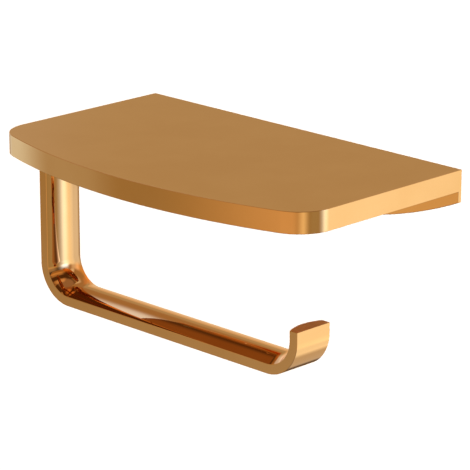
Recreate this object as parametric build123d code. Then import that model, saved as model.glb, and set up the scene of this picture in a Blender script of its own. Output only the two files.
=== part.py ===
from build123d import *
import os
from math import atan2, cos, sin, sqrt

# Wall-mounted toilet paper holder with a shelf, in millimetres.
#
# X runs to the right, Y into the wall and Z up. The origin is midway between the two wall-screw holes,
# on the plane of the wall. The front of the holder faces -Y.
#
# The shelf is a hollow casting that is one piece with its wall flange. A base plate closes it from
# below. The roll arm hangs from a steel plate inside the shelf.

# --- Shelf, in plan ---
SHELF_WIDTH = 180.0
SIDE_DEPTH = 90.4  # from the wall to where the side would meet the bowed front without a corner radius
FRONT_BOW = 16.0  # how far the middle of the front stands ahead of those corners
CORNER_RADIUS = 16.5

# --- Shelf, in section ---
SHELF_THICKNESS = 9.1
TOP_WALL = 2.0
RIM_WALL = 2.6
LIP = 1.2  # the part of the rim that shows around the base plate
EDGE_ROUND = 0.35
RIB_WIDTH = 2.0

# --- Wall flange ---
FLANGE_THICKNESS = 1.9
FLANGE_SIDE_DROP = 4.7  # below the shelf's underside, at its two sides
FLANGE_MIDDLE_DROP = 23.8  # and at its middle
HOLE_SPACING = 80.0
HOLE_RADIUS = 2.5
HOLE_DROP = 11.5  # hole centres below the shelf's underside

# --- Roll arm ---
ARM_WIDTH = 19.1  # front to back
ARM_EDGE = 4.25  # thickness at its narrow front and back faces
ARM_CROWN = 2.35  # how far the inner face is crowned
ARM_LEFT = -86.75  # the post's outer face
ARM_RIGHT = 67.7  # the hook's outer face
ARM_FRONT = -72.5
ARM_DROP = 79.1  # from the shelf's top to the bar's underside
TIP_DROP = 57.7  # from the shelf's top to the hook's tip
ARM_BEND = 17.0  # outer radius of both bends

# --- Plates inside the shelf ---
BASE_THICKNESS = 1.5
PLATE_THICKNESS = 2.5
PLATE_LEFT = -87.1
PLATE_WIDTH = 26.0
PLATE_DEPTH = 34.0
FIT_GAP = 0.1
SLOT_GAP = 0.2  # around the arm, in the base plate

# --- M3 countersunk screws ---
SHANK_RADIUS = 1.5
HEAD_RADIUS = 2.75
HEAD_RIM = 0.2
HEAD_CONE = HEAD_RADIUS - SHANK_RADIUS  # 45 degrees
SOCKET_ACROSS_FLATS = 2.0
SOCKET_DEPTH = 1.0
SCREW_GAP = 0.05
BOSS_RADIUS = 3.25
ARM_SCREW_LENGTH = 10.0
ARM_SCREW_PITCH = 8.0
ARM_SCREW_INSET = 3.05  # from the post's outer face
ARM_HOLE_DEPTH = 9.0
PLATE_SCREW_LENGTH = 5.0
PLATE_SCREW_INSET = 3.5  # from the mounting plate's edges
PLATE_PILOT_DEPTH = 3.3
BASE_SCREW_LENGTH = 6.0
BASE_PILOT_DEPTH = 5.3
REAR_SCREW_Y = -12.0
BASE_SCREW_PLACES = [
    (-78.0, REAR_SCREW_Y),
    (0.0, REAR_SCREW_Y),
    (78.0, REAR_SCREW_Y),
    (-52.0, -91.0),
    (12.0, -96.0),
    (77.0, -74.0),
]

# --- Heights that follow ---
UNDER_Z = HOLE_DROP
TOP_Z = UNDER_Z + SHELF_THICKNESS
CAVITY_TOP_Z = TOP_Z - TOP_WALL
BASE_TOP_Z = UNDER_Z + BASE_THICKNESS
PLATE_UNDER_Z = BASE_TOP_Z + FIT_GAP
PLATE_TOP_Z = PLATE_UNDER_Z + PLATE_THICKNESS
ARM_CENTRE_Y = ARM_FRONT + ARM_WIDTH / 2
ARM_SCREW_X = ARM_LEFT + ARM_SCREW_INSET


def slab(outline, low, high):
    """A flat outline in plan, made solid from one height to another."""
    return extrude(Pos(0, 0, low) * outline, amount=high - low, dir=(0, 0, 1))


def shelf_outline(inset, back):
    """The shelf's plan outline, drawn in from its sides and front, with its straight back at y = back."""
    half = SHELF_WIDTH / 2
    bow_radius = (half**2 + FRONT_BOW**2) / (2 * FRONT_BOW)
    bow_y = bow_radius - SIDE_DEPTH - FRONT_BOW
    corner_x = half - CORNER_RADIUS
    corner_y = bow_y - sqrt((bow_radius - CORNER_RADIUS) ** 2 - corner_x**2)
    front = bow_radius - inset
    corner = CORNER_RADIUS - inset
    turn = atan2(corner_y - bow_y, corner_x)  # direction in which the corner meets the bow
    side_x = half - inset
    meet_x, meet_y = front * cos(turn), bow_y + front * sin(turn)
    mid_x, mid_y = corner_x + corner * cos(turn / 2), corner_y + corner * sin(turn / 2)
    edges = [
        Line((-side_x, back), (side_x, back)),
        Line((side_x, back), (side_x, corner_y)),
        ThreePointArc((side_x, corner_y), (mid_x, mid_y), (meet_x, meet_y)),
        ThreePointArc((meet_x, meet_y), (0, bow_y - front), (-meet_x, meet_y)),
        ThreePointArc((-meet_x, meet_y), (-mid_x, mid_y), (-side_x, corner_y)),
        Line((-side_x, corner_y), (-side_x, back)),
    ]
    return Face(Wire(edges))


def screw_form(length, gap=0.0):
    """A countersunk screw's outer form, head down at z = 0 and pointing up, or its hole with a gap."""
    rim = extrude(Circle(HEAD_RADIUS + gap), amount=HEAD_RIM)
    cone = Pos(0, 0, HEAD_RIM + HEAD_CONE / 2) * Cone(HEAD_RADIUS + gap, SHANK_RADIUS + gap, HEAD_CONE)
    shank = extrude(Circle(SHANK_RADIUS + gap), amount=length)
    return rim + cone + shank


def screw(length):
    """A countersunk screw with a hexagon socket in its head."""
    hexagon = RegularPolygon(SOCKET_ACROSS_FLATS / 2, 6, major_radius=False)
    return screw_form(length) - extrude(hexagon, amount=SOCKET_DEPTH)


def plate_screw_places():
    """The four corners of the mounting plate, drawn in to its screws."""
    left = PLATE_LEFT + PLATE_SCREW_INSET
    right = PLATE_LEFT + PLATE_WIDTH - PLATE_SCREW_INSET
    reach = PLATE_DEPTH / 2 - PLATE_SCREW_INSET
    return [(x, ARM_CENTRE_Y + side * reach) for x in (left, right) for side in (-1, 1)]


def arm_screw_places():
    """The two tapped holes in the top of the arm's post, front one first."""
    return [(ARM_SCREW_X, ARM_CENTRE_Y + side * ARM_SCREW_PITCH / 2) for side in (-1, 1)]


def boss(place, low, pilot_depth):
    """A boss that hangs from the shelf's top wall down to z = low, and the pilot hole in it."""
    at = Pos(place[0], place[1], low)
    post = at * extrude(Circle(BOSS_RADIUS), amount=CAVITY_TOP_Z - low)
    pilot = at * extrude(Circle(SHANK_RADIUS + SCREW_GAP), amount=pilot_depth)
    return post, pilot


def ribs():
    """Stiffening ribs under the top wall: three from back to front and one across, clear of the plate."""
    low = PLATE_TOP_Z
    lines = [Pos(x, -SIDE_DEPTH / 2) * Rectangle(RIB_WIDTH, 2 * SIDE_DEPTH) for x in (-40, 0, 40)]
    right = SHELF_WIDTH / 2
    left = PLATE_LEFT + PLATE_WIDTH + 1
    lines.append(Pos((left + right) / 2, ARM_CENTRE_Y) * Rectangle(right - left, RIB_WIDTH))
    room = slab(shelf_outline(RIM_WALL / 2, -RIM_WALL / 2), low, CAVITY_TOP_Z)
    return [slab(line, low, CAVITY_TOP_Z) & room for line in lines]


def flange():
    """The wall flange: straight at the top, an arc along its lower edge, with the two wall-screw holes."""
    half = SHELF_WIDTH / 2
    side_z = UNDER_Z - FLANGE_SIDE_DROP
    middle_z = UNDER_Z - FLANGE_MIDDLE_DROP
    edges = [
        Line((-half, BASE_TOP_Z), (half, BASE_TOP_Z)),
        Line((half, BASE_TOP_Z), (half, side_z)),
        ThreePointArc((half, side_z), (0, middle_z), (-half, side_z)),
        Line((-half, side_z), (-half, BASE_TOP_Z)),
    ]
    holes = [Pos(side * HOLE_SPACING / 2, 0) * Circle(HOLE_RADIUS) for side in (-1, 1)]
    return extrude(Plane.XZ * (Face(Wire(edges)) - holes), amount=FLANGE_THICKNESS, dir=(0, -1, 0))


def shelf_shell():
    """The hollow shelf: top wall, rim, bosses and ribs, with the wall flange."""
    body = slab(shelf_outline(0, 0), UNDER_Z, TOP_Z)
    body = fillet(body.edges().group_by(Axis.Z)[-1], EDGE_ROUND)
    body -= slab(shelf_outline(RIM_WALL, -RIM_WALL), UNDER_Z, CAVITY_TOP_Z)
    rebate = slab(shelf_outline(LIP, -FLANGE_THICKNESS), UNDER_Z, BASE_TOP_Z)
    land_width = RIM_WALL - LIP
    land_x = -SHELF_WIDTH / 2 + LIP + land_width / 2
    land = slab(Pos(land_x, ARM_CENTRE_Y) * Rectangle(land_width, ARM_WIDTH), UNDER_Z, BASE_TOP_Z)
    body -= rebate - land
    bosses = [boss(place, PLATE_TOP_Z, PLATE_PILOT_DEPTH) for place in plate_screw_places()]
    bosses += [boss(place, BASE_TOP_Z, BASE_PILOT_DEPTH) for place in BASE_SCREW_PLACES]
    body += [post for post, _ in bosses] + ribs() + [flange()]
    return body - [pilot for _, pilot in bosses]


def arm_section(grow=0.0):
    """The arm's cross-section: x runs in from the flat outer face, y across the width."""
    reach = ARM_WIDTH / 2 + grow
    edge = ARM_EDGE + grow
    edges = [
        Line((0, -reach), (edge, -reach)),
        ThreePointArc((edge, -reach), (edge + ARM_CROWN, 0), (edge, reach)),
        Line((edge, reach), (0, reach)),
        Line((0, reach), (0, -reach)),
    ]
    return Face(Wire(edges))


def roll_arm():
    """The bar that carries the roll: post, bend, level bar, bend and upturned hook."""
    bar_z = TOP_Z - ARM_DROP
    tip_z = TOP_Z - TIP_DROP
    path = FilletPolyline(
        (ARM_LEFT, ARM_CENTRE_Y, PLATE_UNDER_Z),
        (ARM_LEFT, ARM_CENTRE_Y, bar_z),
        (ARM_RIGHT, ARM_CENTRE_Y, bar_z),
        (ARM_RIGHT, ARM_CENTRE_Y, tip_z),
        radius=ARM_BEND,
    )
    top = Plane((ARM_LEFT, ARM_CENTRE_Y, PLATE_UNDER_Z), x_dir=(1, 0, 0), z_dir=(0, 0, -1))
    arm = sweep(top * arm_section(), path)
    hole = extrude(Circle(SHANK_RADIUS + SCREW_GAP), amount=-ARM_HOLE_DEPTH)
    return arm - [Pos(x, y, PLATE_UNDER_Z) * hole for x, y in arm_screw_places()]


def base_plate():
    """The plate that closes the shelf from below, notched from its left edge around the arm's post."""
    plate = slab(shelf_outline(LIP + FIT_GAP, -FLANGE_THICKNESS - FIT_GAP), UNDER_Z, BASE_TOP_Z)
    notch = Pos(ARM_LEFT, ARM_CENTRE_Y) * arm_section(SLOT_GAP)
    way_in = Rectangle(ARM_EDGE, ARM_WIDTH + 2 * SLOT_GAP, align=(Align.MAX, Align.CENTER))
    notch += Pos(ARM_LEFT + ARM_EDGE / 2, ARM_CENTRE_Y) * way_in
    plate -= slab(notch, UNDER_Z, BASE_TOP_Z)
    hole = screw_form(BASE_SCREW_LENGTH, SCREW_GAP)
    return plate - [Pos(x, y, UNDER_Z) * hole for x, y in BASE_SCREW_PLACES]


def arm_mounting_plate():
    """The steel plate that the arm hangs from, countersunk above for the arm and below for the shelf."""
    outline = Pos(PLATE_LEFT, ARM_CENTRE_Y) * Rectangle(
        PLATE_WIDTH, PLATE_DEPTH, align=(Align.MIN, Align.CENTER)
    )
    plate = slab(outline, PLATE_UNDER_Z, PLATE_TOP_Z)
    from_below = screw_form(PLATE_SCREW_LENGTH, SCREW_GAP)
    from_above = Rot(180, 0, 0) * screw_form(ARM_SCREW_LENGTH, SCREW_GAP)
    plate -= [Pos(x, y, PLATE_UNDER_Z) * from_below for x, y in plate_screw_places()]
    return plate - [Pos(x, y, PLATE_TOP_Z) * from_above for x, y in arm_screw_places()]


def all_parts():
    """Every piece of the holder, by name."""
    parts = {
        "shelf_shell": shelf_shell(),
        "base_plate": base_plate(),
        "roll_arm": roll_arm(),
        "arm_mounting_plate": arm_mounting_plate(),
    }
    for name, (x, y) in zip(("front", "rear"), arm_screw_places()):
        parts[f"arm_screw_{name}"] = Pos(x, y, PLATE_TOP_Z) * Rot(180, 0, 0) * screw(ARM_SCREW_LENGTH)
    for number, (x, y) in enumerate(plate_screw_places(), 1):
        parts[f"mounting_plate_screw_{number}"] = Pos(x, y, PLATE_UNDER_Z) * screw(PLATE_SCREW_LENGTH)
    for number, (x, y) in enumerate(BASE_SCREW_PLACES, 1):
        parts[f"base_plate_screw_{number}"] = Pos(x, y, UNDER_Z) * screw(BASE_SCREW_LENGTH)
    return parts


os.makedirs("parts", exist_ok=True)
for node, solid in all_parts().items():
    export_step(solid, f"parts/{node}.step")
    print(node, round(solid.volume, 1))
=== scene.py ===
from math import atan2, cos, pi, radians, sin, sqrt

import bmesh
import bpy
from mathutils import Matrix, Vector


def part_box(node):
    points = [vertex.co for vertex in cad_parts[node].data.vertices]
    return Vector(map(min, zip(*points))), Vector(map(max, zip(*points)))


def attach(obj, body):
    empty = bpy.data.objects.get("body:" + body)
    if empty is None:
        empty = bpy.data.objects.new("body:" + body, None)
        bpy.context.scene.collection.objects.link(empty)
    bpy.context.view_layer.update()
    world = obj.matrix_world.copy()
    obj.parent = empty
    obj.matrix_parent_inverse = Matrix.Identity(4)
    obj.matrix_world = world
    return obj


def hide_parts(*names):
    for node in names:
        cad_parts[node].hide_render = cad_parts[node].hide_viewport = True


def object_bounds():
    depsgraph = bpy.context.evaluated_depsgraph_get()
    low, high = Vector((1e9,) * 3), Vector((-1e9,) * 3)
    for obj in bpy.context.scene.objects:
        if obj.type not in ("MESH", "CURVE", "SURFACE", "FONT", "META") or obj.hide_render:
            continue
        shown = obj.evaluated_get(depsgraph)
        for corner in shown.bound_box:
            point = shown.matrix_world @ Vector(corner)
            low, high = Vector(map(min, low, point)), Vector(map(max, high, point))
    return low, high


# The looks of a wall-mounted toilet paper holder with a shelf, in polished rose gold.
# Meshes are laid out in millimetres, in the CAD frame, and turned into metres when they are made.
# The sizes of the object's parts are in millimetres.
MM = 0.001

# --- Shelf ---
FRONT_BOW = 16.0
CORNER_RADIUS = 16.5
SHELF_THICKNESS = 9.1
TOP_WALL = 2.0
RIM_WALL = 2.6
LIP = 1.2
BASE_THICKNESS = 1.5
FLANGE_THICKNESS = 1.9
FLANGE_SIDE_DROP = 4.7
HOLE_SPACING = 80.0
HOLE_RADIUS = 2.5
RIB_WIDTH = 2.0
RIB_PLACES = (-40, 0, 40)
RIB_CLEARANCE = 1.0
BOSS_RADIUS = 3.25
PLATE_PILOT_DEPTH = 3.3
BASE_PILOT_DEPTH = 5.3
FIT_GAP = 0.1
SLOT_GAP = 0.2

# --- Screws, and what they go into ---
HEAD_RADIUS = 2.75
SHANK_RADIUS = 1.5
HEAD_RIM = 0.2
SCREW_GAP = 0.05
ARM_HOLE_DEPTH = 9.0

# --- Roll arm ---
ARM_EDGE = 4.25
ARM_CROWN = 2.35
ARM_BEND = 17.0
TIP_DROP = 57.7

# --- How finely curves are divided ---
BOW_STEPS = 120
CORNER_STEPS = 32
FLANGE_STEPS = 120
HOLE_STEPS = 64
BEND_STEPS = 72
CROWN_STEPS = 48

# --- Softened edges ---
EDGE_WIDTH = 0.2
FINE_EDGE_WIDTH = 0.15
EDGE_STEPS = 4
SHARP_ANGLE = radians(30)
SAME_PLACE = 0.0005  # closer corners than this are one corner
SAME_PLANE = radians(0.02)

# How far a cutting tool reaches past what it cuts.
OVERCUT = 1.0

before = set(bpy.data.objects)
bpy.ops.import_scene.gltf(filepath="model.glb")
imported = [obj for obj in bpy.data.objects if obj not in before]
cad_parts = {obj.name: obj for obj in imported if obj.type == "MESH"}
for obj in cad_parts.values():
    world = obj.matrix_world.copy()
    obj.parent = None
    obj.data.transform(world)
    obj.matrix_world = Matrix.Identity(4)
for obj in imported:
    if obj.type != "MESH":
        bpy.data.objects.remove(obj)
cad_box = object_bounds()


def corners_mm(node):
    """A CAD node's lowest and highest corners, in millimetres."""
    low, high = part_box(node)
    return low / MM, high / MM


def axis_mm(node):
    """Where the upright axis of a round CAD node stands in plan, in millimetres."""
    low, high = corners_mm(node)
    return (low.x + high.x) / 2, (low.y + high.y) / 2


shell_low, shell_high = corners_mm("shelf_shell")
arm_low, arm_high = corners_mm("roll_arm")
plate_high = corners_mm("arm_mounting_plate")[1]
HALF_WIDTH = shell_high.x
TOP_Z = shell_high.z
UNDER_Z = TOP_Z - SHELF_THICKNESS
BASE_TOP_Z = UNDER_Z + BASE_THICKNESS
CAVITY_TOP_Z = TOP_Z - TOP_WALL
RIB_TOP_Z = CAVITY_TOP_Z + TOP_WALL / 2  # inside the top wall, so that ribs and bosses join it
ARM_WIDTH = arm_high.y - arm_low.y
ARM_CENTRE_Y = (arm_high.y + arm_low.y) / 2
base_screws = [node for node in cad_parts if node.startswith("base_plate_screw")]
plate_screws = [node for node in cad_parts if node.startswith("mounting_plate_screw")]


# ---------------------------------------------------------------- mesh tools

def arc(centre, radius, start, end, steps):
    """Points along an arc in a plane, both ends included."""
    turn = [start + (end - start) * i / steps for i in range(steps + 1)]
    return [(centre[0] + radius * cos(t), centre[1] + radius * sin(t)) for t in turn]


def prism(name, outline, low, high, place):
    """A closed solid: an outline swept from low to high. place makes a position of (u, v, height)."""
    mesh = bmesh.new()
    rings = [[mesh.verts.new(Vector(place(u, v, h)) * MM) for u, v in outline] for h in (low, high)]
    count = len(outline)
    mesh.faces.new(rings[0])
    mesh.faces.new(rings[1][::-1])
    for i in range(count):
        j = (i + 1) % count
        mesh.faces.new((rings[0][i], rings[1][i], rings[1][j], rings[0][j]))
    return finished(name, mesh)


def finished(name, mesh):
    """Turns a bmesh into an object with its faces turned outwards."""
    bmesh.ops.recalc_face_normals(mesh, faces=mesh.faces)
    data = bpy.data.meshes.new(name)
    mesh.to_mesh(data)
    mesh.free()
    piece = bpy.data.objects.new(name, data)
    bpy.context.scene.collection.objects.link(piece)
    return piece


def flat(u, v, height):
    """Places an outline in plan."""
    return (u, v, height)


def upright(u, v, height):
    """Places an outline that stands on the wall, with height as the distance in front of it."""
    return (u, -height, v)


def apply_modifiers(piece):
    """Makes the result of a piece's modifiers its own mesh."""
    graph = bpy.context.evaluated_depsgraph_get()
    old = piece.data
    made = bpy.data.meshes.new_from_object(piece.evaluated_get(graph))
    piece.modifiers.clear()
    piece.data = made
    made.name = piece.name
    bpy.data.meshes.remove(old)


def combine(piece, tools, operation):
    """Joins tools to a piece or cuts them out of it, and removes the tools."""
    for tool in tools:
        step = piece.modifiers.new("combine", "BOOLEAN")
        step.operation = operation
        step.solver = "EXACT"
        step.object = tool
        apply_modifiers(piece)
        bpy.data.objects.remove(tool)


def soften(piece, width):
    """Cleans a piece's flat faces and rounds its sharp edges by a fraction of a millimetre."""
    mesh = bmesh.new()
    mesh.from_mesh(piece.data)
    bmesh.ops.remove_doubles(mesh, verts=mesh.verts, dist=SAME_PLACE * MM)
    bmesh.ops.dissolve_limit(
        mesh, angle_limit=SAME_PLANE, verts=mesh.verts, edges=mesh.edges, use_dissolve_boundaries=False
    )
    mesh.to_mesh(piece.data)
    mesh.free()
    for face in piece.data.polygons:
        face.use_smooth = True
    bevel = piece.modifiers.new("soften", "BEVEL")
    bevel.width = width * MM
    bevel.segments = EDGE_STEPS
    bevel.limit_method = "ANGLE"
    bevel.angle_limit = SHARP_ANGLE
    bevel.use_clamp_overlap = False
    bevel.harden_normals = True
    bevel.miter_outer = "MITER_ARC"
    apply_modifiers(piece)


# ---------------------------------------------------------------- shelf

def shelf_outline(inset, back):
    """The shelf's plan outline, drawn in from its sides and front, with its straight back at y = back."""
    side_depth = -shell_low.y - FRONT_BOW
    bow_radius = (HALF_WIDTH**2 + FRONT_BOW**2) / (2 * FRONT_BOW)
    bow_y = bow_radius - side_depth - FRONT_BOW
    corner_x = HALF_WIDTH - CORNER_RADIUS
    corner_y = bow_y - sqrt((bow_radius - CORNER_RADIUS) ** 2 - corner_x**2)
    turn = atan2(corner_y - bow_y, corner_x)
    corner = CORNER_RADIUS - inset
    right = arc((corner_x, corner_y), corner, 0, turn, CORNER_STEPS)
    front = arc((0, bow_y), bow_radius - inset, turn, -pi - turn, BOW_STEPS)
    left = arc((-corner_x, corner_y), corner, -pi - turn, -pi, CORNER_STEPS)
    half = HALF_WIDTH - inset
    return [(half, back)] + right + front[1:-1] + left + [(-half, back)]


def slab(name, outline, low, high):
    """A closed solid: an outline in plan, from one height to another."""
    return prism(name, outline, low, high, flat)


def disc(name, x, y, radius, low, high, place=flat):
    """A short round bar, upright or level: a boss, or a tool that cuts a hole."""
    circle = arc((x, y), radius, 0, 2 * pi, HOLE_STEPS)[:-1]
    return prism(name, circle, low, high, place)


def make_flange():
    """The slab on the wall: level at the top, an arc along its lower edge."""
    side_z = UNDER_Z - FLANGE_SIDE_DROP
    sag = side_z - shell_low.z
    radius = (HALF_WIDTH**2 + sag**2) / (2 * sag)
    reach = atan2(HALF_WIDTH, radius - sag)
    lower = arc((0, shell_low.z + radius), radius, -pi / 2 - reach, -pi / 2 + reach, FLANGE_STEPS)
    outline = lower + [(HALF_WIDTH, BASE_TOP_Z), (-HALF_WIDTH, BASE_TOP_Z)]
    return prism("flange", outline, 0, FLANGE_THICKNESS, upright)


def rectangle(left, right, front, back):
    """An outline in plan, level with the axes."""
    return [(left, front), (right, front), (right, back), (left, back)]


def make_rebate():
    """The step inside the rim that the base plate fills, left solid beside the arm's post, as a tool."""
    rebate = slab("rebate", shelf_outline(LIP, -FLANGE_THICKNESS), UNDER_Z - OVERCUT, BASE_TOP_Z)
    half = ARM_WIDTH / 2
    beside = rectangle(-HALF_WIDTH, -HALF_WIDTH + RIM_WALL, ARM_CENTRE_Y - half, ARM_CENTRE_Y + half)
    combine(rebate, [slab("land", beside, UNDER_Z - 2 * OVERCUT, BASE_TOP_Z + OVERCUT)], "DIFFERENCE")
    return rebate


def make_ribs():
    """Stiffening ribs under the top wall: some from back to front and one across, clear of the plate."""
    half = RIB_WIDTH / 2
    outlines = [rectangle(x - half, x + half, shell_low.y, 0) for x in RIB_PLACES]
    left = plate_high.x + RIB_CLEARANCE
    outlines.append(rectangle(left, HALF_WIDTH, ARM_CENTRE_Y - half, ARM_CENTRE_Y + half))
    inside = shelf_outline(RIM_WALL / 2, -RIM_WALL / 2)
    ribs = []
    for outline in outlines:
        rib = slab("rib", outline, plate_high.z, RIB_TOP_Z)
        room = slab("room", inside, plate_high.z - OVERCUT, RIB_TOP_Z + OVERCUT)
        combine(rib, [room], "INTERSECT")
        ribs.append(rib)
    return ribs


def make_bosses():
    """The bosses under the top wall that the screws go into, and the pilot holes in them, as tools."""
    places = [(axis_mm(node), plate_high.z, PLATE_PILOT_DEPTH) for node in plate_screws]
    places += [(axis_mm(node), BASE_TOP_Z, BASE_PILOT_DEPTH) for node in base_screws]
    bosses = [disc("boss", *axis, BOSS_RADIUS, low, RIB_TOP_Z) for axis, low, _ in places]
    hole = SHANK_RADIUS + SCREW_GAP
    pilots = [disc("pilot", *axis, hole, low - OVERCUT, low + depth) for axis, low, depth in places]
    return bosses, pilots


def make_shelf():
    """The hollow shelf, open below for the base plate, with its wall flange."""
    shelf = slab("shelf", shelf_outline(0, 0), UNDER_Z, TOP_Z)
    combine(shelf, [make_flange()], "UNION")
    cavity = slab("cavity", shelf_outline(RIM_WALL, -RIM_WALL), UNDER_Z - OVERCUT, CAVITY_TOP_Z)
    holes = [
        disc("hole", side * HOLE_SPACING / 2, 0, HOLE_RADIUS, -OVERCUT, FLANGE_THICKNESS + OVERCUT, upright)
        for side in (-1, 1)
    ]
    combine(shelf, [cavity, make_rebate()] + holes, "DIFFERENCE")
    bosses, pilots = make_bosses()
    combine(shelf, make_ribs() + bosses, "UNION")
    combine(shelf, pilots, "DIFFERENCE")
    soften(shelf, EDGE_WIDTH)
    return shelf


# ---------------------------------------------------------------- roll arm

def arm_section(grow=0.0):
    """The arm's section: u runs in from its flat outer face, v across its width."""
    half = ARM_WIDTH / 2 + grow
    radius = (half**2 + ARM_CROWN**2) / (2 * ARM_CROWN)
    reach = atan2(half, radius - ARM_CROWN)
    crown = arc((ARM_EDGE + grow + ARM_CROWN - radius, 0), radius, -reach, reach, CROWN_STEPS)
    return [(0, half), (0, -half)] + crown


def arm_path():
    """Stations along the arm's outer face: position, and the direction in towards its inner face."""
    left, right, bar_z = arm_low.x, arm_high.x, arm_low.z
    turn = [pi + (pi / 2) * i / BEND_STEPS for i in range(BEND_STEPS + 1)]
    stations = [(left, arm_high.z, pi)]
    for centre_x, start in ((left + ARM_BEND, 0), (right - ARM_BEND, pi / 2)):
        for t in turn:
            angle = t + start
            x = centre_x + ARM_BEND * cos(angle)
            z = bar_z + ARM_BEND + ARM_BEND * sin(angle)
            stations.append((x, z, angle))
    stations.append((right, TOP_Z - TIP_DROP, 2 * pi))
    return stations


def make_arm():
    """One section swept along post, bends, bar and hook, with two screw holes in the post's top."""
    mesh = bmesh.new()
    section = arm_section()
    rings = []
    for x, z, outward in arm_path():
        ring = [(x - u * cos(outward), ARM_CENTRE_Y + v, z - u * sin(outward)) for u, v in section]
        rings.append([mesh.verts.new(Vector(p) * MM) for p in ring])
    count = len(section)
    for a, b in zip(rings, rings[1:]):
        for i in range(count):
            j = (i + 1) % count
            mesh.faces.new((a[i], b[i], b[j], a[j]))
    mesh.faces.new(rings[0])
    mesh.faces.new(rings[-1][::-1])
    arm = finished("arm", mesh)
    top = arm_high.z
    hole = SHANK_RADIUS + SCREW_GAP
    screws = [axis_mm(f"arm_screw_{end}") for end in ("front", "rear")]
    holes = [disc("hole", *axis, hole, top - ARM_HOLE_DEPTH, top + OVERCUT) for axis in screws]
    combine(arm, holes, "DIFFERENCE")
    soften(arm, FINE_EDGE_WIDTH)
    return arm


# ---------------------------------------------------------------- base plate

def countersink(x, y, low, high):
    """The form of a screw hole that widens downwards for the head, as a tool."""
    head, shank = HEAD_RADIUS + SCREW_GAP, SHANK_RADIUS + SCREW_GAP
    cone_low = low + HEAD_RIM
    cone_high = cone_low + head - shank
    levels = [(low - OVERCUT, head), (cone_low, head), (cone_high, shank), (high + OVERCUT, shank)]
    mesh = bmesh.new()
    rings = []
    for z, radius in levels:
        circle = arc((x, y), radius, 0, 2 * pi, HOLE_STEPS)[:-1]
        rings.append([mesh.verts.new(Vector((u, v, z)) * MM) for u, v in circle])
    for a, b in zip(rings, rings[1:]):
        for i in range(HOLE_STEPS):
            j = (i + 1) % HOLE_STEPS
            mesh.faces.new((a[i], b[i], b[j], a[j]))
    mesh.faces.new(rings[0])
    mesh.faces.new(rings[-1][::-1])
    return finished("countersink", mesh)


def make_base_plate():
    """The plate that closes the shelf from below, open on its left around the arm's post."""
    outline = shelf_outline(LIP + FIT_GAP, -FLANGE_THICKNESS - FIT_GAP)
    plate = slab("base_plate_cover", outline, UNDER_Z, BASE_TOP_Z)
    slot = [(arm_low.x + u, ARM_CENTRE_Y + v) for u, v in arm_section(SLOT_GAP)]
    half = ARM_WIDTH / 2 + SLOT_GAP
    # The slot's outer side moves out past the plate's left edge.
    slot[:2] = [(-HALF_WIDTH, ARM_CENTRE_Y + half), (-HALF_WIDTH, ARM_CENTRE_Y - half)]
    tools = [slab("slot", slot, UNDER_Z - OVERCUT, BASE_TOP_Z + OVERCUT)]
    for node in base_screws:
        x, y = axis_mm(node)
        tools.append(countersink(x, y, UNDER_Z, BASE_TOP_Z))
    combine(plate, tools, "DIFFERENCE")
    soften(plate, FINE_EDGE_WIDTH)
    return plate


# ---------------------------------------------------------------- camera

# Where the camera stands round the middle of the CAD model's box, in metres, and its lens in millimetres.
AZIMUTH = radians(44.857)
ELEVATION = radians(17.052)
ROLL = radians(0.069)
DISTANCE = 1.1225
AIM_RIGHT = 0.00958
AIM_UP = 0.00367
LENS = 205.83
SENSOR = 36.0
NEAREST = 0.01


def make_camera():
    """Looks at the holder from the front right, a little from above."""
    forward = Vector((-sin(AZIMUTH) * cos(ELEVATION), cos(AZIMUTH) * cos(ELEVATION), -sin(ELEVATION)))
    level = Vector((cos(AZIMUTH), sin(AZIMUTH), 0))
    rise = level.cross(forward)
    right = level * cos(ROLL) + rise * sin(ROLL)
    up = rise * cos(ROLL) - level * sin(ROLL)
    centre = (cad_box[0] + cad_box[1]) / 2
    camera = bpy.data.objects.new("camera", bpy.data.cameras.new("camera"))
    turn = Matrix((right, up, -forward)).transposed().to_4x4()
    place = centre + level * AIM_RIGHT + rise * AIM_UP - forward * DISTANCE
    camera.matrix_world = Matrix.Translation(place) @ turn
    camera.data.lens = LENS
    camera.data.sensor_width = SENSOR
    camera.data.clip_start = NEAREST
    bpy.context.scene.collection.objects.link(camera)
    bpy.context.scene.camera = camera


# ---------------------------------------------------------------- materials

# How large the marks on the metal are in millimetres, along X, Y and Z after these are turned, and
# between which levels of the noise they fade in.
SMUDGE_SIZE = (14, 14, 14)
SMUDGE_LEVELS = (0.42, 0.68)
SHADE_SIZE = (25, 25, 25)
SHADE_LEVELS = (0.3, 0.7)
RIPPLE_SIZE = (2.5, 2.5, 2.5)
SCRATCH_SIZE = (16, 0.1, 0.1)
SCRATCH_LEVELS = (0.66, 0.76)
SCRATCH_PATCH = (30, 12, 12)
PATCH_LEVELS = (0.42, 0.6)
SCRATCH_TURNS = ((0, 0.1, 0.3), (0.2, 0.4, 1.8), (0.3, 1.3, 0.4))
BRUSH_SIZE = (6, 0.12, 0.12)
BRUSH_LEVELS = (0.3, 0.7)
NO_TURN = (0, 0, 0)
SMUDGE_TURN = (0, 0, 0.4)

# How much fine detail each noise has.
SMUDGE_DETAIL = 4
SHADE_DETAIL = 3
RIPPLE_DETAIL = 2
SCRATCH_DETAIL = 1
BRUSH_DETAIL = 4
BRUSHED_SMUDGE_DETAIL = 3

# Roughness of each finish, how much the marks add to it, and how deep the relief is in millimetres.
POLISHED = 0.018
SMUDGE_ROUGHNESS = 0.025
SCRATCH_ROUGHNESS = 0.12
RIPPLE_DEPTH = 0.002
SATIN = 0.34
SATIN_DEPTH = 0.002
BRUSHED = 0.22
BRUSHED_DEPTH = 0.004
MARK_ROUGHNESS = 0.12
BRUSHED_SMUDGE_ROUGHNESS = 0.08

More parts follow.
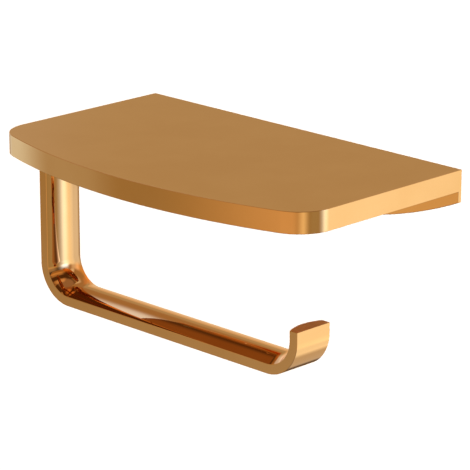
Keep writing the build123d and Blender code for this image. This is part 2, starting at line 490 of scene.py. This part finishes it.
# Colours of the metals: their lighter and darker patches, and where they are scratched.
GOLD_LIGHT = (0.915, 0.555, 0.252)
GOLD_DARK = (0.885, 0.525, 0.228)
GOLD_SCRATCHED = (0.95, 0.63, 0.34)
# The satin colours of the hook's tip are lighter than the gold's: painted light that gives the tip the
# shelf top's tone.
LIT_SATIN_LIGHT = (0.96, 0.64, 0.36)
LIT_SATIN_DARK = (0.92, 0.60, 0.32)
STEEL_LIGHT = (0.63, 0.62, 0.60)
STEEL_DARK = (0.55, 0.54, 0.52)
GOLD_TINT = (1, 0.95, 0.9)
STEEL_TINT = (1, 1, 1)


class Nodes:
    """Adds nodes to a tree and links values or other nodes' outputs to their inputs."""

    def __init__(self, tree):
        self.tree = tree

    def add(self, kind, inputs, **settings):
        """A new node. Inputs are values or other nodes' outputs, by name or number."""
        node = self.tree.nodes.new(kind)
        for key, value in settings.items():
            setattr(node, key, value)
        for key, value in inputs.items():
            if isinstance(value, bpy.types.NodeSocket):
                self.tree.links.new(value, node.inputs[key])
            else:
                node.inputs[key].default_value = value
        return node

    def math(self, operation, *values):
        """The output of a new Math node."""
        return self.add("ShaderNodeMath", dict(enumerate(values)), operation=operation).outputs[0]

    def fade(self, value, half_size, softness):
        """1 near 0, and 0 far from it: half way at half_size, and smooth across the softness."""
        ends = {"Value": value, "From Min": half_size - softness / 2, "From Max": half_size + softness / 2}
        ends.update({"To Min": 1, "To Max": 0})
        return self.add("ShaderNodeMapRange", ends, interpolation_type="SMOOTHSTEP").outputs["Result"]

    def noise(self, place, detail, low, high):
        """Smooth random patches between 0 and 1, reaching 0 at the level low and 1 at high."""
        cloud = self.add("ShaderNodeTexNoise", {"Vector": place, "Scale": 1, "Detail": detail})
        ends = {"Value": cloud.outputs["Fac"], "From Min": low, "From Max": high}
        return self.add("ShaderNodeMapRange", ends, interpolation_type="SMOOTHSTEP").outputs["Result"]

    def stretched(self, turn, size):
        """The place on the surface, turned and measured in cells of a size in millimetres."""
        place = self.add("ShaderNodeTexCoord", {}).outputs["Object"]
        rotation = {"Vector": place, "Rotation": turn}
        turned = self.add("ShaderNodeVectorRotate", rotation, rotation_type="EULER_XYZ").outputs[0]
        scale = [1 / (length * MM) for length in size]
        cells = self.add("ShaderNodeVectorMath", {0: turned, 1: scale}, operation="MULTIPLY")
        return cells.outputs[0]

    def hairlines(self, turns, size):
        """Straight fine scratches in patches, running a few ways: 1 in a scratch, 0 beside it."""
        found = 0
        for turn in turns:
            lines = self.noise(self.stretched(turn, size), SCRATCH_DETAIL, *SCRATCH_LEVELS)
            patches = self.noise(self.stretched(turn, SCRATCH_PATCH), SCRATCH_DETAIL, *PATCH_LEVELS)
            found = self.math("MAXIMUM", self.math("MULTIPLY", lines, patches), found)
        return found

    def blend(self, factor, one, other):
        """A colour between two others, each a colour or another node's output."""
        mix = self.tree.nodes.new("ShaderNodeMix")
        mix.data_type = "RGBA"
        for name, value in (("Factor", factor), ("A", one), ("B", other)):
            socket = next(s for s in mix.inputs if s.name == name and s.enabled)
            if isinstance(value, bpy.types.NodeSocket):
                self.tree.links.new(value, socket)
            else:
                socket.default_value = (*value, 1)
        return next(s for s in mix.outputs if s.enabled)


def new_metal(name, tint):
    """A metal whose even values are set on the shader's own sockets."""
    material = bpy.data.materials.new(name)
    material.use_nodes = True
    shader = material.node_tree.nodes["Principled BSDF"]
    shader.inputs["Specular Tint"].default_value = (*tint, 1)
    shader.inputs["Metallic"].default_value = 1
    return material, shader, Nodes(material.node_tree)


def bump(nodes, shader, height, depth):
    """Fine relief on a surface, so many millimetres deep."""
    relief = nodes.add("ShaderNodeBump", {"Height": height, "Strength": 1, "Distance": depth * MM})
    nodes.tree.links.new(relief.outputs["Normal"], shader.inputs["Normal"])


def make_gold():
    """Polished rose gold plating, with faint smudges, slight ripples and fine hairline scratches."""
    material, shader, nodes = new_metal("rose_gold", GOLD_TINT)
    smudge = nodes.noise(nodes.stretched(SMUDGE_TURN, SMUDGE_SIZE), SMUDGE_DETAIL, *SMUDGE_LEVELS)
    lines = nodes.hairlines(SCRATCH_TURNS, SCRATCH_SIZE)
    polished = nodes.math("MULTIPLY_ADD", smudge, SMUDGE_ROUGHNESS, POLISHED)
    roughness = nodes.math("MULTIPLY_ADD", lines, SCRATCH_ROUGHNESS, polished)
    shade = nodes.noise(nodes.stretched(NO_TURN, SHADE_SIZE), SHADE_DETAIL, *SHADE_LEVELS)
    plain = nodes.blend(shade, GOLD_LIGHT, GOLD_DARK)
    colour = nodes.blend(lines, plain, GOLD_SCRATCHED)
    nodes.tree.links.new(roughness, shader.inputs["Roughness"])
    nodes.tree.links.new(colour, shader.inputs["Base Color"])
    ripples = nodes.noise(nodes.stretched(NO_TURN, RIPPLE_SIZE), RIPPLE_DETAIL, 0, 1)
    bump(nodes, shader, ripples, RIPPLE_DEPTH)
    return material


def make_brushed(name, tint, light, dark, roughness, depth):
    """A metal with fine brush marks along X, some rougher and darker than others."""
    material, shader, nodes = new_metal(name, tint)
    marks = nodes.noise(nodes.stretched(NO_TURN, BRUSH_SIZE), BRUSH_DETAIL, *BRUSH_LEVELS)
    place = nodes.stretched(SMUDGE_TURN, SMUDGE_SIZE)
    smudge = nodes.noise(place, BRUSHED_SMUDGE_DETAIL, *SMUDGE_LEVELS)
    brushed = nodes.math("MULTIPLY_ADD", marks, MARK_ROUGHNESS, roughness)
    smudged = nodes.math("MULTIPLY_ADD", smudge, BRUSHED_SMUDGE_ROUGHNESS, brushed)
    nodes.tree.links.new(smudged, shader.inputs["Roughness"])
    nodes.tree.links.new(nodes.blend(marks, light, dark), shader.inputs["Base Color"])
    bump(nodes, shader, marks, depth)
    return material


# ---------------------------------------------------------------- studio

# The floor in metres, and the overhead lamp that keeps it white.
MOUNTING_HEIGHT = 0.7
FLOOR_SIZE = 40.0
FLOOR_COLOUR = (0.9, 0.9, 0.9)
FLOOR_ROUGHNESS = 0.9
LAMP_STRENGTH = 3.3
LAMP_SPREAD = radians(60)

# The fill card: its place and the flange's end that it faces in millimetres, its size in metres.
FILL_PLACE = (-20, -110, -43)
FLANGE_END = (75, -2, 3)
FILL_WIDTH = 0.050
FILL_HEIGHT = 0.020
FILL_GLOW = 0.34
FILL_COLOUR = (1, 0.72, 0.4)

# The light from everywhere, and the half width of a band with no ends.
DIM_LIGHT = (0.09, 0.06, 0.04)
ALL_ROUND = 400

# Soft lights round the object: azimuth from +X towards +Y and elevation of the middle, half the width
# and height, how wide the soft edges are at the sides and ends (all in degrees), and the colour.
CARDS = {
    "room": (0, -12.5, ALL_ROUND, 18.5, 1, 8, (0.27, 0.19, 0.07)),
    "upper_room": (160, 42, 130, 36, 50, 8, (0.30, 0.17, 0.06)),
    "right_front": (0, -14, 14, 14, 20, 10, (0.03, 0.06, 0.06)),
    "front_upper": (345, 9, 18, 8, 20, 8, (0.28, 0.20, 0.11)),
    "window": (29.5, -7, 9.5, 12, 22, 12, (0.60, 0.95, 1.50)),
    "window_top": (29, 5, 9, 6, 12, 8, (0.40, 0.80, 1.80)),
    "window_upper": (27, 9, 13, 9, 16, 12, (0.34, 0.42, 0.60)),
    "window_glow": (43, -13, 14, 15, 20, 12, (0.74, 0.80, 0.78)),
    "right": (72, -14, 16, 14, 16, 12, (0.44, 0.54, 0.66)),
    "right_upper": (64, 8, 14, 9, 14, 10, (0.34, 0.34, 0.34)),
    "right_low": (60, -35, 11, 9.5, 14, 12, (0.95, 0.95, 0.85)),
    "right_floor": (92, -44, 24, 8, 16, 8, (0.50, 0.46, 0.38)),
    "right_warm": (92, 8, 26, 8, 16, 14, (0.35, 0.15, 0.02)),
    "right_back": (114, 17, 12, 11, 10, 10, (0.20, 0.05, 0.00)),
    "right_high": (80, 46, 34, 8, 10, 10, (0.30, 0.35, 0.35)),
    "right_edge": (54, 28, 6, 10, 8, 8, (0.40, 0.45, 0.48)),
    "back": (136, -6, 16, 12, 20, 12, (0.48, 0.37, 0.26)),
    "back_warm": (133, 8, 14, 2.5, 14, 5, (0.20, 0.11, 0.05)),
    "back_middle": (134, 14, 14, 6, 20, 6, (0.08, 0.13, 0.10)),
    "back_left": (157, 8, 14, 12, 12, 8, (0.26, 0.36, 0.50)),
    "back_high": (157, 43, 10, 7, 12, 14, (0.45, 0.72, 1.20)),
    "back_low": (156, -46, 20, 8, 14, 8, (0.17, 0.09, 0.03)),
    "left": (179, -14, 15, 14, 14, 14, (0.37, 0.57, 0.74)),
    "left_front": (206, -12, 12, 14, 12, 12, (0.10, 0.14, 0.16)),
    "front": (282, -14, 33, 14, 40, 12, (0.33, 0.20, 0.11)),
    "front_strip": (328, -14, 9, 12, 22, 10, (0.52, 0.47, 0.34)),
    "front_low": (222, -26, 14, 6, 10, 10, (0.15, 0.22, 0.28)),
    "front_under": (2, -32, 20, 6, 16, 6, (0.38, 0.36, 0.30)),
    "front_floor": (5, -60, 30, 7, 20, 6, (0.40, 0.36, 0.30)),
    "floor": (60, -70, 70, 14, 20, 8, (0.26, 0.28, 0.38)),
}


def ray_angles(nodes):
    """The azimuth and elevation of each ray, in degrees."""
    ray = nodes.add("ShaderNodeTexCoord", {}).outputs["Generated"]
    parts = nodes.add("ShaderNodeSeparateXYZ", {"Vector": ray}).outputs
    turn = 180 / pi
    azimuth = nodes.math("MULTIPLY", nodes.math("ARCTAN2", parts["Y"], parts["X"]), turn)
    elevation = nodes.math("MULTIPLY", nodes.math("ARCSINE", parts["Z"]), turn)
    return azimuth, elevation


def card_light(nodes, azimuth, elevation):
    """The light of all the cards in one direction, and the dim light from everywhere."""
    light = DIM_LIGHT
    for at, height, half_width, half_height, soft_side, soft_end, colour in CARDS.values():
        beside = nodes.math("ABSOLUTE", nodes.math("WRAP", nodes.math("SUBTRACT", azimuth, at), 180, -180))
        above = nodes.math("ABSOLUTE", nodes.math("SUBTRACT", elevation, height))
        across = nodes.fade(beside, half_width, soft_side)
        upward = nodes.fade(above, half_height, soft_end)
        mask = nodes.math("MULTIPLY", across, upward)
        card = nodes.add("ShaderNodeVectorMath", {0: colour, "Scale": mask}, operation="SCALE").outputs[0]
        light = nodes.add("ShaderNodeVectorMath", {0: card, 1: light}, operation="ADD").outputs[0]
    return light


def make_world():
    """Cards of soft light in a dim warm room, and plain white where the camera sees past the object."""
    world = bpy.data.worlds.new("studio")
    bpy.context.scene.world = world
    world.use_nodes = True
    world.node_tree.nodes.clear()
    nodes = Nodes(world.node_tree)
    light = card_light(nodes, *ray_angles(nodes))
    room = nodes.add("ShaderNodeBackground", {"Color": light})
    backdrop = nodes.add("ShaderNodeBackground", {"Color": (1, 1, 1, 1)})
    seen = nodes.add("ShaderNodeLightPath", {}).outputs["Is Camera Ray"]
    mix = nodes.add("ShaderNodeMixShader", {0: seen, 1: room.outputs[0], 2: backdrop.outputs[0]})
    nodes.add("ShaderNodeOutputWorld", {"Surface": mix.outputs[0]})


def floor_material():
    """Plain and pale from above, clear from below."""
    material = bpy.data.materials.new("floor")
    material.use_nodes = True
    shader = material.node_tree.nodes["Principled BSDF"]
    shader.inputs["Base Color"].default_value = (*FLOOR_COLOUR, 1)
    shader.inputs["Roughness"].default_value = FLOOR_ROUGHNESS
    nodes = Nodes(material.node_tree)
    clear = nodes.add("ShaderNodeBsdfTransparent", {})
    below = nodes.add("ShaderNodeNewGeometry", {}).outputs["Backfacing"]
    mix = nodes.add("ShaderNodeMixShader", {0: below, 1: shader.outputs[0], 2: clear.outputs[0]})
    nodes.tree.links.new(mix.outputs[0], material.node_tree.nodes["Material Output"].inputs["Surface"])
    return material


def make_floor():
    """A floor at a bathroom's mounting height below the holder. The metal doesn't reflect it."""
    half = FLOOR_SIZE / 2
    corners = [(-half, -half), (half, -half), (half, half), (-half, half)]
    mesh = bpy.data.meshes.new("floor")
    mesh.from_pydata([(x, y, -MOUNTING_HEIGHT) for x, y in corners], [], [range(4)])
    floor = bpy.data.objects.new("floor", mesh)
    bpy.context.scene.collection.objects.link(floor)
    mesh.materials.append(floor_material())
    floor.visible_glossy = False


def make_lamp():
    """A broad sun overhead that keeps the floor white. The metal doesn't reflect it."""
    lamp = bpy.data.objects.new("overhead", bpy.data.lights.new("overhead", "SUN"))
    lamp.data.energy = LAMP_STRENGTH
    lamp.data.angle = LAMP_SPREAD
    lamp.visible_glossy = False
    bpy.context.scene.collection.objects.link(lamp)


def make_fill():
    """A small warm card that only the front of the wall flange reflects towards the camera."""
    fill = bpy.data.objects.new("fill", bpy.data.lights.new("fill", "AREA"))
    fill.data.shape = "RECTANGLE"
    fill.data.size = FILL_WIDTH
    fill.data.size_y = FILL_HEIGHT
    fill.data.energy = FILL_GLOW * pi * FILL_WIDTH * FILL_HEIGHT
    fill.data.color = FILL_COLOUR
    fill.location = Vector(FILL_PLACE) * MM
    fill.rotation_euler = (Vector(FLANGE_END) - Vector(FILL_PLACE)).to_track_quat("-Z", "Y").to_euler()
    fill.visible_camera = False
    bpy.context.scene.collection.objects.link(fill)


# ---------------------------------------------------------------- finishes

# How level a face must be, and how close to the tip's height in millimetres, to be the hook's tip.
LEVEL_ENOUGH = 0.99
CLOSE_ENOUGH = 0.01


def cover(piece, material):
    """Gives a piece one material all over."""
    piece.data.materials.clear()
    piece.data.materials.append(material)


def cover_tip(arm, material):
    """Gives the hook's level tip face a rougher copy of the gold with a lighter colour: painted light that
    gives the tip the shelf top's tone.
    """
    arm.data.materials.append(material)
    height = TOP_Z - TIP_DROP
    for face in arm.data.polygons:
        if face.normal.z > LEVEL_ENOUGH and abs(face.center.z / MM - height) < CLOSE_ENOUGH:
            face.material_index = 1


make_camera()
make_world()
make_floor()
make_lamp()
make_fill()
gold = make_gold()
# A rougher copy of the gold for the hook's tip, with a lighter colour as painted light.
lit_satin = make_brushed("rose_gold_lit_satin", GOLD_TINT, LIT_SATIN_LIGHT, LIT_SATIN_DARK, SATIN, SATIN_DEPTH)
steel = make_brushed("brushed_steel", STEEL_TINT, STEEL_LIGHT, STEEL_DARK, BRUSHED, BRUSHED_DEPTH)
bpy.context.scene.view_settings.view_transform = "Standard"
pieces = {"shelf_shell": make_shelf(), "roll_arm": make_arm(), "base_plate": make_base_plate()}
for node, piece in pieces.items():
    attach(piece, "root")
    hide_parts(node)
    cover(piece, gold)
cover_tip(pieces["roll_arm"], lit_satin)
for node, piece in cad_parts.items():
    if node not in pieces:
        cover(piece, steel)
